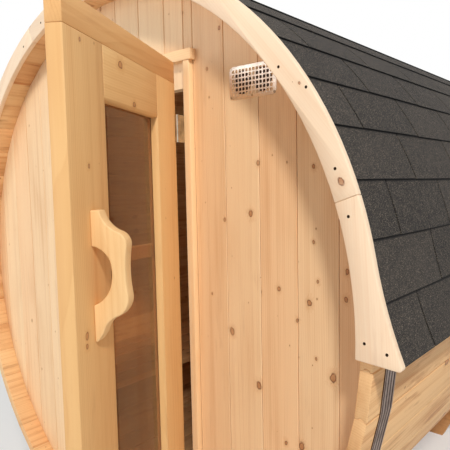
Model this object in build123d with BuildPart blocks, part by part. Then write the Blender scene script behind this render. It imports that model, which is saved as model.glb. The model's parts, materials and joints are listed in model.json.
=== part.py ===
from build123d import *
from math import acos, asin, cos, degrees, hypot, radians, sin, sqrt, tan
import os

# Barrel sauna on two cradles. Millimetres, +Z up, the front faces -Y.
# The origin is the middle of the front cradle's underside.
# Sizes that end in _above or _below are heights counted from the barrel's axis.

# Barrel
barrel_length = 2130.0
stave_count = 52
stave_inner = 943.0  # from the barrel's axis to a stave's inner face
stave_thickness = 32.0
stave_gap = 0.3
stave_chamfer = 3.0
bead_height = 6.0
bead_width = 18.0
bead_facets = 6
bead_rows = 4  # groups of staves up each side
croze_depth = 6.5  # groove across each stave that holds an end wall
croze_play = 0.5

# Cradles
ground_clearance = 100.0  # under the lowest stave
cradle_inset = 350.0  # from a barrel end to the middle of its cradle
cradle_thickness = 45.0
cradle_foot = 500.0  # half width where it stands
cradle_waist = 560.0  # half width where the arm leaves the foot
cradle_waist_height = 125.0
cradle_arm = 700.0  # half width at the tip of the arm
cradle_arm_height = 135.0
cradle_tip = 25.0  # height of the arm's blunt tip
cradle_hold_angle = 30.2  # the barrel rests in the cradle this far to each side
cradle_play = 0.3

# Steel bands
band_inset = 60.0  # from a barrel end to the near edge of its band
band_width = 58.0
band_thickness = 2.8  # over its rolled ridges
band_play = 0.3

# Roof
roof_board_thickness = 9.0
roof_board_count = 11  # down each side to the eave board
roof_board_gap = 0.5
roof_play = 0.3
eave_board_angle = 72.0  # where the tapered eave board starts
flare_angle = 79.0  # from here down the roof bends out
flare_radius = 1060.0
eave_setback = 10.0  # shingles and eave board end this far short of the arches
eave_heel_below = 24.0
shingle_thickness = 11.0
shingle_play = 0.3
shingle_step = 4.0
shingle_exposure = 132.6
ridge_cap_width = 293.0

# Arches
arch_thickness = 18.0
arch_overlap = 2.0  # the arch reaches this far inside the staves
arch_heel_below = 30.0
arch_tip_below = 36.0
arch_heel_rounding = 4.0
arch_tip_rounding = 8.5
arch_crown_angle = 23.7  # half of the top board
arch_end_angle = 71.1  # where the end boards start
arch_joint = 0.5

# End walls
wall_inset = 69.0  # from the stave ends to the face of the wall
wall_thickness = 34.0

# Door. Its height follows from the barrel and the wall left round its frame.
door_width = 578.0
door_offset = 49.0  # from the barrel's axis to the middle of the door
door_thickness = 33.0
door_open_angle = 120.3
wall_over_head = 121.0  # from the corner of the door head to the staves
wall_under_sill = 84.0  # from the corner of the sill to the staves
hinge_gap = 5.0  # between the door and the jamb it hangs on
free_gap = 6.0  # between the door and the other jamb
head_gap = 9.0
sill_gap = 5.0
wall_gap = 5.0  # behind the shut door
hinge_stile_width = 137.0
free_stile_width = 147.0
top_rail_height = 59.5
upper_panel_height = 111.0
upper_panel_radius = 9.0
bottom_rail_height = 146.0
member_gap = 0.3
glass_setback = 19.5
glass_thickness = 6.0
glass_play = 1.0
rabbet_width = 12.0

# Doorway and its frame
lap_side = 10.0  # how far the shut door laps the wall
lap_head = 65.0
lap_sill = 46.0
frame_width = 25.0
frame_proud = 18.0
head_height = 31.0
head_proud = 20.0
head_overhang = 10.0

# Outer handle
handle_above = 47.0  # its lowest point
handle_thickness = 28.0
handle_edge_inset = 67.0  # from the door's free edge to the handle's near side
handle_height = 256.0
handle_root = 18.0  # depth of its upper end
handle_shoulder = 50.5  # from the door's face to where its slopes turn from hollow to round
handle_slope = 40.0  # height of the hollow stretch
handle_reach = 70.5  # from the door's face to the outside of the grip
handle_grip = 31.5  # depth of the grip itself
handle_grip_bottom = 92.0  # up from the lowest point, as the four below
handle_palm_bottom = 115.0
handle_palm_top = 154.0
handle_hole_bottom = 72.0
handle_hole_top = 187.0
handle_waist = 4.0  # the grip is this much hollow in its middle
handle_curve = 6.5  # bulge of its other arcs
handle_hole_curve = 7.5
handle_tail = 5.0  # depth of its lower end

# Inner pull bar
pull_above = 156.0
pull_height = 34.0
pull_thickness = 22.0
pull_bow = 62.0
pull_foot = 40.0
pull_stile_lap = 84.0  # from a door edge to the bar's end

# Hinges
hinge_length = 78.0
hinge_inset = 184.0  # from an end of the door to the middle of the nearer hinge
knuckle_radius = 6.5
knuckle_play = 0.5
pin_radius = 3.0
pin_play = 0.08
pin_forward = 4.0  # the pin stands this far in front of the door's face
leaf_thickness = 1.5
leaf_width = 36.0

# Vent grille
vent_from_head = 211.5  # from the end of the door head to the middle of the grille
vent_under_head = 116.0  # from the top of the door head down to the middle of the grille
vent_width = 160.0
vent_height = 86.0
vent_corner = 12.0
vent_thickness = 2.0

# Floor
floor_under_door = 54.0  # from the door's lower edge down to the floor
floor_board_count = 8
floor_board_gap = 8.0
floor_board_thickness = 26.0
floor_bearer_count = 4
floor_bearer_height = 60.0
floor_bearer_thickness = 45.0

# Bench
bench_from_doorway = 90.0  # from the side of the doorway to the bench's front
bench_seat_height = 324.0  # above the floor
bench_slat_count = 5
bench_slat_gap = 9.0
bench_slat_thickness = 28.0
bench_frame_count = 3
bench_frame_thickness = 38.0
bench_bearer_height = 60.0
bench_bearer_inset = 15.0
bench_leg_width = 60.0
room_play = 0.4  # between the staves and what lies against them
end_play = 12.0  # floor and bench stop this far from the end walls

# Worked out from the sizes above
half_pitch = radians(180 / stave_count)
stave_outer = stave_inner + stave_thickness
stave_corner = hypot(stave_outer, stave_outer * tan(half_pitch) - stave_chamfer)
bead_radius = (bead_width**2 / 4 + bead_height**2) / (2 * bead_height)
bead_turn = asin(bead_width / 2 / bead_radius)
band_inner = stave_outer + band_play
band_outer = band_inner + band_thickness
roof_inner = band_outer / cos(half_pitch) + roof_play
roof_board_outer = roof_inner + roof_board_thickness
roof_outer = roof_board_outer + shingle_thickness
arch_inner = stave_inner - arch_overlap
axis_height = stave_outer + ground_clearance
front_end = -cradle_inset
back_end = front_end + barrel_length
wall_face = front_end + wall_inset
back_wall_face = back_end - wall_inset
room_start = wall_face + wall_thickness
room_end = back_wall_face - wall_thickness
croze_radius = stave_inner + croze_depth
door_face = wall_face - wall_gap - door_thickness
door_hinge_edge = door_offset + door_width / 2
door_free_edge = door_offset - door_width / 2
hinge_jamb_x = door_hinge_edge + hinge_gap
free_jamb_x = door_free_edge - free_gap
frame_left = free_jamb_x - frame_width
frame_right = hinge_jamb_x + frame_width
head_left = frame_left - head_overhang
head_right = frame_right + head_overhang
head_top = sqrt((stave_inner - wall_over_head) ** 2 - max(-head_left, head_right) ** 2)
frame_top = head_top - head_height
sill_bottom = -sqrt((stave_inner - wall_under_sill) ** 2 - max(-frame_left, frame_right) ** 2)
frame_bottom = sill_bottom + frame_width
door_top_above = frame_top - head_gap
door_bottom_below = -frame_bottom - sill_gap
opening_left = door_free_edge + lap_side
opening_right = door_hinge_edge - lap_side
opening_top = door_top_above - lap_head
opening_bottom = lap_sill - door_bottom_below
pin_x = hinge_jamb_x - hinge_gap / 2
pin_y = door_face - pin_forward
floor_below = door_bottom_below + floor_under_door
bench_below = floor_below - bench_seat_height
bench_edge_x = opening_left - bench_from_doorway

os.makedirs("parts", exist_ok=True)


def keep(piece, label):
    """Name a finished sub-part and write it out."""
    piece.part.label = label
    export_step(piece.part, f"parts/{label}.step")


def clock(radius, angle):
    """A point of the barrel's cross section, its angle clockwise from the top."""
    return Vector(radius * sin(radians(angle)), radius * cos(radians(angle)))


def section(y):
    """The barrel's cross section at y as seen from the front."""
    return Plane((0, y, axis_height), x_dir=(1, 0, 0), z_dir=(0, -1, 0))


def half_chord(radius, below):
    """Half the width of a circle round the axis at a height below it."""
    return sqrt(radius**2 - below**2)


def rectangle(left, right, bottom, top, mode=Mode.ADD):
    """A rectangle between four sides in the current sketch."""
    with Locations(((left + right) / 2, (bottom + top) / 2)):
        Rectangle(right - left, top - bottom, mode=mode)


# Staves: flat boards with a bead on one edge and a cove on the other. The beads look up on both
# sides of the barrel, so the top stave has two coves and the bottom stave two beads.
def stave_plane(number):
    """As section at the front end, turned so that its Y runs out to the middle of a stave."""
    angle = 2 * half_pitch * number
    return Plane((0, front_end, axis_height), x_dir=(cos(angle), 0, -sin(angle)), z_dir=(0, -1, 0))


def bead_sides(number):
    """1 for a bead and -1 for a cove, anticlockwise edge first."""
    place = number % stave_count
    bottom = stave_count // 2
    return (1 if 0 < place <= bottom else -1, 1 if place >= bottom else -1)


def stave_edge(radius):
    """Half the width of a stave at this distance from the axis."""
    return radius * tan(half_pitch) - stave_gap / 2


def bead_points(side, swell):
    """A bead (swell 1) or a cove (swell -1) up one edge of a stave, from inside to outside."""
    points = []
    for number in range(bead_facets + 1):
        turn = bead_turn * (2 * number / bead_facets - 1)
        radius = stave_inner + stave_thickness / 2 + bead_radius * sin(turn)
        rise = swell * (bead_radius * cos(turn) - (bead_radius - bead_height))
        edge = stave_edge(radius) + rise * cos(half_pitch)
        points.append((side * edge, radius - rise * sin(half_pitch)))
    return points


def stave_face(number):
    left_swell, right_swell = bead_sides(number)
    shoulder = stave_outer - stave_chamfer
    corner = stave_edge(stave_outer) - stave_chamfer
    with BuildSketch() as face:
        with BuildLine():
            Polyline(
                (-stave_edge(stave_inner), stave_inner),
                (stave_edge(stave_inner), stave_inner),
                *bead_points(1, right_swell),
                (stave_edge(shoulder), shoulder),
                (corner, stave_outer),
                (-corner, stave_outer),
                (-stave_edge(shoulder), shoulder),
                *reversed(bead_points(-1, left_swell)),
                close=True,
            )
        make_face()
    return face.sketch


def make_staves(label, numbers):
    with BuildPart() as staves:
        for number in numbers:
            with BuildSketch(stave_plane(number)):
                add(stave_face(number))
            extrude(amount=-barrel_length)
        for groove_start in (wall_face, room_end):
            with BuildSketch(section(groove_start)):
                RegularPolygon(croze_radius, stave_count, False, degrees(half_pitch))
            extrude(amount=-wall_thickness, mode=Mode.SUBTRACT)
    keep(staves, label)


bottom_stave = stave_count // 2
make_staves("staves_top", range(-2, 3))
make_staves("staves_bottom", range(bottom_stave - 2, bottom_stave + 3))
side_count = bottom_stave - 5
for row in range(bead_rows):
    first = 3 + side_count * row // bead_rows
    last = 3 + side_count * (row + 1) // bead_rows
    make_staves(f"staves_right_{row + 1}", range(first, last))
    make_staves(f"staves_left_{row + 1}", range(1 - last, 1 - first))


# Boards of the arches and the roof, drawn on the right-hand side
flare_middle = clock(roof_outer + flare_radius, flare_angle)
tip_turn = flare_angle - degrees(acos((flare_middle.Y + arch_tip_below) / flare_radius))
eave_turn = tip_turn - degrees(eave_setback / flare_radius)


def flare_point(turn, inset):
    """A point of the flare, this far round it and this far inside its face."""
    return flare_middle - clock(flare_radius + inset, flare_angle - turn)


def flare_arc(end_turn, inset):
    middle = flare_point(end_turn / 2, inset)
    return ThreePointArc(flare_point(0, inset), middle, flare_point(end_turn, inset))


def curved_board(inner, outer, start, end):
    """A board between two radii and two angles."""
    middle = (start + end) / 2
    with BuildSketch() as board:
        with BuildLine():
            inside = ThreePointArc(clock(inner, start), clock(inner, middle), clock(inner, end))
            outside = ThreePointArc(clock(outer, start), clock(outer, middle), clock(outer, end))
            Line(inside @ 0, outside @ 0)
            Line(inside @ 1, outside @ 1)
        make_face()
    return board.sketch


def flared_board(inner, inset, start, end_turn, heel_below):
    """The lowest board, from an angle down to its outer tip and its inner heel."""
    outer = roof_outer - inset
    heel = Vector(half_chord(inner, heel_below), -heel_below)
    heel_angle = 90 + degrees(asin(heel_below / inner))
    middle = (start + flare_angle) / 2
    with BuildSketch() as board:
        with BuildLine():
            inside = ThreePointArc(clock(inner, start), clock(inner, (start + heel_angle) / 2), heel)
            ThreePointArc(clock(outer, start), clock(outer, middle), clock(outer, flare_angle))
            flare = flare_arc(end_turn, inset)
            Line(inside @ 0, clock(outer, start))
            Line(flare @ 1, heel)
        make_face()
    return board.sketch


# Arches on the stave ends, over the upper half only
arch_joint_angle = degrees(arch_joint / roof_outer)
for label, y in (("front_arch", front_end), ("back_arch", back_end + arch_thickness)):
    with BuildPart() as arch:
        with BuildSketch(section(y)):
            start = arch_crown_angle + arch_joint_angle
            add(curved_board(arch_inner, roof_outer, start, arch_end_angle))
        with BuildSketch(section(y)) as end_board:
            start = arch_end_angle + arch_joint_angle
            add(flared_board(arch_inner, 0, start, tip_turn, arch_heel_below))
            fillet(end_board.vertices().sort_by(Axis.Y)[1], arch_heel_rounding)
            fillet(end_board.vertices().sort_by(Axis.Y)[0], arch_tip_rounding)
        extrude(amount=arch_thickness)
        mirror(about=Plane.YZ)
        with BuildSketch(section(y)):
            add(curved_board(arch_inner, roof_outer, -arch_crown_angle, arch_crown_angle))
        extrude(amount=arch_thickness)
    keep(arch, label)


# Roof boards under the shingles. The lowest board is tapered and carries the flare.
roof_pitch = eave_board_angle / roof_board_count
roof_gap_angle = degrees(roof_board_gap / roof_outer)
with BuildPart() as roof_boards_right:
    for number in range(roof_board_count):
        with BuildSketch(section(front_end)):
            start = number * roof_pitch + roof_gap_angle
            end = (number + 1) * roof_pitch
            add(curved_board(roof_inner, roof_board_outer, start, end))
    extrude(amount=-barrel_length)
keep(roof_boards_right, "roof_boards_right")

with BuildPart() as eave_board_right:
    with BuildSketch(section(front_end)):
        start = eave_board_angle + roof_gap_angle
        add(flared_board(roof_inner, shingle_thickness, start, eave_turn, eave_heel_below))
    extrude(amount=-barrel_length)
keep(eave_board_right, "eave_board_right")

with BuildPart() as roof_boards_left:
    add(mirror(roof_boards_right.part, about=Plane.YZ, mode=Mode.PRIVATE))
keep(roof_boards_left, "roof_boards_left")

with BuildPart() as eave_board_left:
    add(mirror(eave_board_right.part, about=Plane.YZ, mode=Mode.PRIVATE))
keep(eave_board_left, "eave_board_left")


# Shingles: courses that fall back from each butt to the next, and a ridge cap
flare_length = flare_radius * radians(eave_turn)
roof_length = flare_length + roof_outer * radians(flare_angle)


def roof_point(distance, inset):
    """A point this far up the roof from the eave and this far inside its face."""
    if distance <= flare_length:
        return flare_point(eave_turn - degrees(distance / flare_radius), inset)
    angle = flare_angle - degrees((distance - flare_length) / roof_outer)
    return clock(roof_outer - inset, angle)


cap_butt = roof_length - ridge_cap_width / 2
course_count = int(cap_butt / shingle_exposure)
butts = [shingle_exposure * number for number in range(course_count)] + [cap_butt]
shingle_inset = shingle_thickness - shingle_play

with BuildPart() as roof_shingles:
    with BuildSketch(section(front_end)):
        with BuildLine():
            for butt, next_butt in zip(butts, butts[1:]):
                head = roof_point(next_butt, shingle_step)
                middle = roof_point((butt + next_butt) / 2, shingle_step / 2)
                ThreePointArc(roof_point(butt, 0), middle, head)
                Line(head, roof_point(next_butt, 0))
            cap_middle = roof_point((cap_butt + roof_length) / 2, 0)
            ThreePointArc(roof_point(cap_butt, 0), cap_middle, roof_point(roof_length, 0))
            Line(roof_point(roof_length, 0), roof_point(roof_length, shingle_inset))
            under_middle = roof_point((flare_length + roof_length) / 2, shingle_inset)
            under_end = roof_point(flare_length, shingle_inset)
            ThreePointArc(roof_point(roof_length, shingle_inset), under_middle, under_end)
            flare_arc(eave_turn, shingle_inset)
            Line(roof_point(0, shingle_inset), roof_point(0, 0))
        make_face()
        mirror(about=Plane.YZ)
    extrude(amount=-barrel_length)
keep(roof_shingles, "roof_shingles")


# Steel bands, drawn tight over the flats of the staves
with BuildPart() as steel_bands:
    for band_start in (front_end + band_inset, back_end - band_inset - band_width):
        with BuildSketch(section(band_start)):
            RegularPolygon(band_outer, stave_count, False, degrees(half_pitch))
            RegularPolygon(band_inner, stave_count, False, degrees(half_pitch), mode=Mode.SUBTRACT)
        extrude(amount=-band_width)
keep(steel_bands, "steel_bands")


# Cradles: boards cut to the barrel's round, with an arm to each side
seat_radius = stave_corner + cradle_play
for label, middle_y in (("cradle_front", 0), ("cradle_back", barrel_length - 2 * cradle_inset)):
    with BuildPart() as cradle:
        with BuildSketch(section(middle_y + cradle_thickness / 2)):
            with BuildLine():
                hold = clock(seat_radius, 180 - cradle_hold_angle)
                lowest = Vector(0, -seat_radius)
                seat = RadiusArc(lowest, hold, -seat_radius)
                Polyline(
                    hold,
                    (cradle_arm, cradle_arm_height + cradle_tip - axis_height),
                    (cradle_arm, cradle_arm_height - axis_height),
                    (cradle_waist, cradle_waist_height - axis_height),
                    (cradle_foot, -axis_height),
                    (0, -axis_height),
                    lowest,
                )
            make_face()
            mirror(about=Plane.YZ)
        extrude(amount=cradle_thickness)
    keep(cradle, label)


# End walls, held in the grooves of the staves
def make_wall(label, face_y, left, right, bottom, top):
    with BuildPart() as wall:
        with BuildSketch(section(face_y)):
            Circle(croze_radius - croze_play)
            rectangle(left, right, bottom, top, mode=Mode.INTERSECT)
        extrude(amount=-wall_thickness)
    keep(wall, label)


make_wall("front_wall_left", wall_face, -croze_radius, opening_left, -croze_radius, croze_radius)
make_wall("front_wall_right", wall_face, opening_right, croze_radius, -croze_radius, croze_radius)
make_wall("front_wall_above_door", wall_face, opening_left, opening_right, opening_top, croze_radius)
make_wall("front_wall_below_door", wall_face, opening_left, opening_right, -croze_radius, opening_bottom)
make_wall("back_wall", room_end, -croze_radius, croze_radius, -croze_radius, croze_radius)


# Door frame on the face of the wall
def make_trim(label, left, right, bottom, top, proud):
    with BuildPart() as trim:
        with BuildSketch(section(wall_face)):
            rectangle(left, right, bottom, top)
        extrude(amount=proud)
    keep(trim, label)


make_trim("door_jamb_left", frame_left, free_jamb_x, frame_bottom, frame_top, frame_proud)
make_trim("door_jamb_right", hinge_jamb_x, frame_right, frame_bottom, frame_top, frame_proud)
make_trim("door_head", head_left, head_right, frame_top, head_top, head_proud)
make_trim("door_sill", frame_left, frame_right, sill_bottom, frame_bottom, frame_proud)


# Vent grille
with BuildPart() as vent_grille:
    with BuildSketch(section(wall_face)):
        with Locations((head_right + vent_from_head, head_top - vent_under_head)):
            RectangleRounded(vent_width, vent_height, vent_corner)
    extrude(amount=vent_thickness)
keep(vent_grille, "vent_grille")


# Door, drawn as it stands open. "along" runs from the hinges to the free edge, "out" away from
# the outer face.
turn = radians(door_open_angle)
along = Vector(-cos(turn), -sin(turn), 0)
out = Vector(sin(turn), -cos(turn), 0)
pin_side = pin_x - door_hinge_edge
door_corner = Vector(pin_x, pin_y, axis_height) + along * pin_side - out * pin_forward


def door_plane(depth):
    """The door seen from outside, this deep in it: X along the door, Y up."""
    return Plane(door_corner - out * depth, x_dir=along, z_dir=-out)


def door_level(height):
    """A level cut through the door at this height: X along the door, Y out of its face."""
    return Plane(door_corner + Vector(0, 0, height), x_dir=along, z_dir=(0, 0, 1))


hinge_middles = [door_top_above - hinge_inset, hinge_inset - door_bottom_below]
hinge_bases = [middle - hinge_length / 2 for middle in hinge_middles]
stile_joint_hinge = hinge_stile_width
stile_joint_free = door_width - free_stile_width
stile_top = door_top_above - top_rail_height
glass_top = stile_top - upper_panel_height
glass_bottom = bottom_rail_height - door_bottom_below


def door_member(left, right, bottom, top):
    """A flat member of the door with the rabbet for the glass cut from its inner side."""
    with BuildPart() as member:
        with BuildSketch(door_plane(0)):
            rectangle(left, right, bottom, top)
        extrude(amount=door_thickness)
        with BuildSketch(door_plane(glass_setback)):
            rectangle(
                stile_joint_hinge - rabbet_width,
                stile_joint_free + rabbet_width,
                glass_bottom - rabbet_width,
                glass_top + rabbet_width,
            )
        extrude(amount=door_thickness - glass_setback, mode=Mode.SUBTRACT)
    return member.part


with BuildPart() as door_stile_hinge:
    add(door_member(0, stile_joint_hinge, -door_bottom_below, stile_top))
    for base in hinge_bases:
        with BuildSketch(door_level(base - knuckle_play)):
            with Locations((-pin_side, pin_forward)):
                Circle(knuckle_radius + knuckle_play)
        extrude(amount=hinge_length + 2 * knuckle_play, mode=Mode.SUBTRACT)
keep(door_stile_hinge, "door_stile_hinge")

with BuildPart() as door_stile_free:
    add(door_member(stile_joint_free, door_width, -door_bottom_below, stile_top))
keep(door_stile_free, "door_stile_free")

with BuildPart() as door_top_rail:
    add(door_member(0, door_width, stile_top + member_gap, door_top_above))
keep(door_top_rail, "door_top_rail")

between_left = stile_joint_hinge + member_gap
between_right = stile_joint_free - member_gap
with BuildPart() as door_upper_panel:
    add(door_member(between_left, between_right, glass_top, stile_top))
    outer_edges = door_upper_panel.faces().sort_by(Axis(door_corner, out))[-1].edges()
    fillet(outer_edges.sort_by(Axis.Z)[0], upper_panel_radius)
keep(door_upper_panel, "door_upper_panel")

with BuildPart() as door_bottom_rail:
    add(door_member(between_left, between_right, -door_bottom_below, glass_bottom))
keep(door_bottom_rail, "door_bottom_rail")

pane_edge = rabbet_width - glass_play
with BuildPart() as door_glass:
    with BuildSketch(door_plane(glass_setback)):
        rectangle(
            stile_joint_hinge - pane_edge,
            stile_joint_free + pane_edge,
            glass_bottom - pane_edge,
            glass_top + pane_edge,
        )
    extrude(amount=glass_thickness)
keep(door_glass, "door_glass")

bead_edge = rabbet_width - member_gap
bead_start = glass_setback + glass_thickness
with BuildPart() as glass_beads:
    with BuildSketch(door_plane(bead_start)):
        for bottom in (glass_bottom - bead_edge, glass_top):
            left = stile_joint_hinge - bead_edge
            right = stile_joint_free + bead_edge
            rectangle(left, right, bottom, bottom + bead_edge)
        for left in (stile_joint_hinge - bead_edge, stile_joint_free):
            rectangle(left, left + bead_edge, glass_bottom + member_gap, glass_top - member_gap)
    extrude(amount=door_thickness - bead_start)
keep(glass_beads, "glass_beads")


# Outer handle, cut from a board that stands on edge on the free stile. X is out from the door, Y up.
handle_middle = door_width - handle_edge_inset - handle_thickness / 2
handle_base = door_corner + along * handle_middle + Vector(0, 0, handle_above)
palm = handle_reach - handle_grip - handle_waist / 2
shoulder = (handle_shoulder, handle_height - handle_slope)
grip_upper = (handle_reach, handle_hole_top)
grip_lower = (handle_reach, handle_grip_bottom)
belly = (handle_shoulder, handle_grip_bottom - handle_slope)
with BuildPart() as door_handle:
    with BuildSketch(Plane(handle_base, x_dir=out, z_dir=along)):
        with BuildLine():
            top = Line((0, handle_height), (handle_root, handle_height))
            SagittaArc(top @ 1, shoulder, -handle_curve)
            SagittaArc(shoulder, grip_upper, handle_curve)
            SagittaArc(grip_upper, grip_lower, -handle_waist)
            SagittaArc(grip_lower, belly, handle_curve)
            SagittaArc(belly, (handle_root, handle_root), -handle_curve)
            Polyline((handle_root, handle_root), (handle_tail, 0), (0, 0), (0, handle_hole_bottom))
            SagittaArc((0, handle_hole_bottom), (palm, handle_palm_bottom), -handle_hole_curve)
            SagittaArc((palm, handle_palm_bottom), (palm, handle_palm_top), -handle_waist / 2)
            SagittaArc((palm, handle_palm_top), (0, handle_hole_top), -handle_hole_curve)
            Line((0, handle_hole_top), top @ 0)
        make_face()
    extrude(amount=handle_thickness / 2, both=True)
keep(door_handle, "door_handle")


# Inner pull bar, bowed away from the glass
inner_face = -door_thickness
pull_end = door_width - pull_stile_lap
pull_middle = door_width / 2
with BuildPart() as door_pull_bar:
    with BuildSketch(door_level(pull_above)):
        with BuildLine():
            outside = ThreePointArc(
                (pull_stile_lap, inner_face),
                (pull_middle, inner_face - pull_bow),
                (pull_end, inner_face),
            )
            inside = ThreePointArc(
                (pull_stile_lap + pull_foot, inner_face),
                (pull_middle, inner_face - pull_bow + pull_thickness),
                (pull_end - pull_foot, inner_face),
            )
            Line(outside @ 0, inside @ 0)
            Line(outside @ 1, inside @ 1)
        make_face()
    extrude(amount=pull_height)
keep(door_pull_bar, "door_pull_bar")


# Hinges: two knuckles and the pin on the jamb's leaf, one knuckle on the door's leaf
knuckle_length = (hinge_length - 2 * knuckle_play) / 3
knuckle_pitch = knuckle_length + knuckle_play

with BuildPart() as hinge_frame_leaves:
    for base in hinge_bases:
        foot = Plane((pin_x, pin_y, axis_height + base))
        with BuildSketch(foot):
            rectangle(hinge_gap / 2 - leaf_thickness, hinge_gap / 2, 0, leaf_width)
        extrude(amount=hinge_length)
        with BuildSketch(foot.offset(knuckle_length)):
            Circle(knuckle_radius + knuckle_play)
        extrude(amount=knuckle_length + 2 * knuckle_play, mode=Mode.SUBTRACT)
        with BuildSketch(foot):
            Circle(pin_radius)
        extrude(amount=hinge_length)
        with BuildSketch(foot, foot.offset(2 * knuckle_pitch)):
            Circle(knuckle_radius)
        extrude(amount=knuckle_length)
keep(hinge_frame_leaves, "hinge_frame_leaves")

with BuildPart() as hinge_door_leaves:
    for base in hinge_bases:
        foot = door_level(base)
        with BuildSketch(foot):
            rectangle(-leaf_thickness, 0, pin_forward - leaf_width, pin_forward)
        extrude(amount=hinge_length)
        with BuildSketch(foot, foot.offset(2 * knuckle_pitch - knuckle_play)):
            with Locations((-pin_side, pin_forward)):
                Circle(knuckle_radius + knuckle_play)
        extrude(amount=knuckle_pitch, mode=Mode.SUBTRACT)
        with BuildSketch(foot.offset(knuckle_pitch)):
            with Locations((-pin_side, pin_forward)):
                Circle(knuckle_radius)
        extrude(amount=knuckle_length)
        with BuildSketch(foot):
            with Locations((-pin_side, pin_forward)):
                Circle(pin_radius + pin_play)
        extrude(amount=hinge_length, mode=Mode.SUBTRACT)
keep(hinge_door_leaves, "hinge_door_leaves")


# Floor: boards along the barrel on bearers that follow its round
floor_start = room_start + end_play
floor_length = room_end - end_play - floor_start
floor_underside_below = floor_below + floor_board_thickness
floor_half = half_chord(stave_inner - room_play, floor_underside_below)
floor_pitch = (2 * floor_half + floor_board_gap) / floor_board_count
bearer_pitch = (floor_length - floor_bearer_thickness) / (floor_bearer_count - 1)
with BuildPart() as floor_boards:
    for number in range(floor_board_count):
        left = number * floor_pitch - floor_half
        with BuildSketch(section(floor_start)):
            rectangle(left, left + floor_pitch - floor_board_gap, -floor_underside_below, -floor_below)
        extrude(amount=-floor_length)
keep(floor_boards, "floor_boards")

with BuildPart() as floor_bearers:
    for number in range(floor_bearer_count):
        with BuildSketch(section(floor_start + number * bearer_pitch)):
            Circle(stave_inner - room_play)
            rectangle(
                -floor_half,
                floor_half,
                -floor_underside_below - floor_bearer_height,
                -floor_underside_below,
                mode=Mode.INTERSECT,
            )
        extrude(amount=-floor_bearer_thickness)
keep(floor_bearers, "floor_bearers")


# Bench along the left side: slats on bearers, each bearer with a leg at its inner end
bench_underside_below = bench_below + bench_slat_thickness
bench_back_x = -half_chord(stave_inner - room_play, bench_underside_below)
bench_pitch = (bench_edge_x - bench_back_x + bench_slat_gap) / bench_slat_count
bench_frame_pitch = (floor_length - bench_frame_thickness) / (bench_frame_count - 1)
leg_right = bench_edge_x - bench_bearer_inset
with BuildPart() as bench_slats:
    for number in range(bench_slat_count):
        left = bench_back_x + number * bench_pitch
        with BuildSketch(section(floor_start)):
            rectangle(left, left + bench_pitch - bench_slat_gap, -bench_underside_below, -bench_below)
        extrude(amount=-floor_length)
keep(bench_slats, "bench_slats")

with BuildPart() as bench_frames:
    for number in range(bench_frame_count):
        frame_plane = section(floor_start + number * bench_frame_pitch)
        bearer_underside = -bench_underside_below - bench_bearer_height
        with BuildSketch(frame_plane):
            Circle(stave_inner - room_play)
            rectangle(bench_back_x, leg_right, bearer_underside, -bench_underside_below, Mode.INTERSECT)
        extrude(amount=-bench_frame_thickness)
        with BuildSketch(frame_plane):
            rectangle(leg_right - bench_leg_width, leg_right, -floor_below, bearer_underside)
        extrude(amount=-bench_frame_thickness)
keep(bench_frames, "bench_frames")
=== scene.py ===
import bpy
import bmesh
import json
import random
from math import acos, cos, pi, radians, sin, tan
from mathutils import Matrix, Vector

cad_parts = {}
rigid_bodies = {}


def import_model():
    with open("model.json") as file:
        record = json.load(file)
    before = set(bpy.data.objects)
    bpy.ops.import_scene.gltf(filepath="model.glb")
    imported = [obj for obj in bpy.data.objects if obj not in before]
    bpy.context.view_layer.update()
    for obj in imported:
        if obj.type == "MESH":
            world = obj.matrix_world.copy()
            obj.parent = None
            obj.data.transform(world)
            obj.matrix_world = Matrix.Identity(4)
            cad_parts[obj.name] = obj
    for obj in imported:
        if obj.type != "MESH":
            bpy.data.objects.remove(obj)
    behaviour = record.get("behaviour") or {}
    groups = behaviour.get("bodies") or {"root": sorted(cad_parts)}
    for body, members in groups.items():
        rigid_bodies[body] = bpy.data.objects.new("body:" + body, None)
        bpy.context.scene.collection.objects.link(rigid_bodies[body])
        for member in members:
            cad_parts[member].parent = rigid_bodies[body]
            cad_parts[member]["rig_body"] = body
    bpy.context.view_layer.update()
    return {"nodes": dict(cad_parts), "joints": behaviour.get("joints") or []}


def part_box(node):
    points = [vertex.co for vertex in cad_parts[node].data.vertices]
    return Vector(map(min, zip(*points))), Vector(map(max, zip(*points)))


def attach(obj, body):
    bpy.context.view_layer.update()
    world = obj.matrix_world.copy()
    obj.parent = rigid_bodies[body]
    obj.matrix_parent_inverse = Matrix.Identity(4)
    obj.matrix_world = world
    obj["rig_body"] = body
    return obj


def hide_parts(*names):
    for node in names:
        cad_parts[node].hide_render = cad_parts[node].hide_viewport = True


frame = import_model()
random.seed(7)

# The barrel's own sizes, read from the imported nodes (metres)
staveLow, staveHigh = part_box("staves_top")
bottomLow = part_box("staves_bottom")[0]
axisZ = (staveHigh.z + bottomLow.z) / 2
barrelFront = staveLow.y
barrelBack = staveHigh.y
barrelLength = barrelBack - barrelFront
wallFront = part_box("front_wall_right")[0].y
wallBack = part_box("front_wall_right")[1].y
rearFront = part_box("back_wall")[0].y
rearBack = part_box("back_wall")[1].y
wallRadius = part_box("back_wall")[1].x
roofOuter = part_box("roof_shingles")[1].z - axisZ
hinge = frame["joints"][0]
print("Frame loaded, axis at", round(axisZ, 4))


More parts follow.
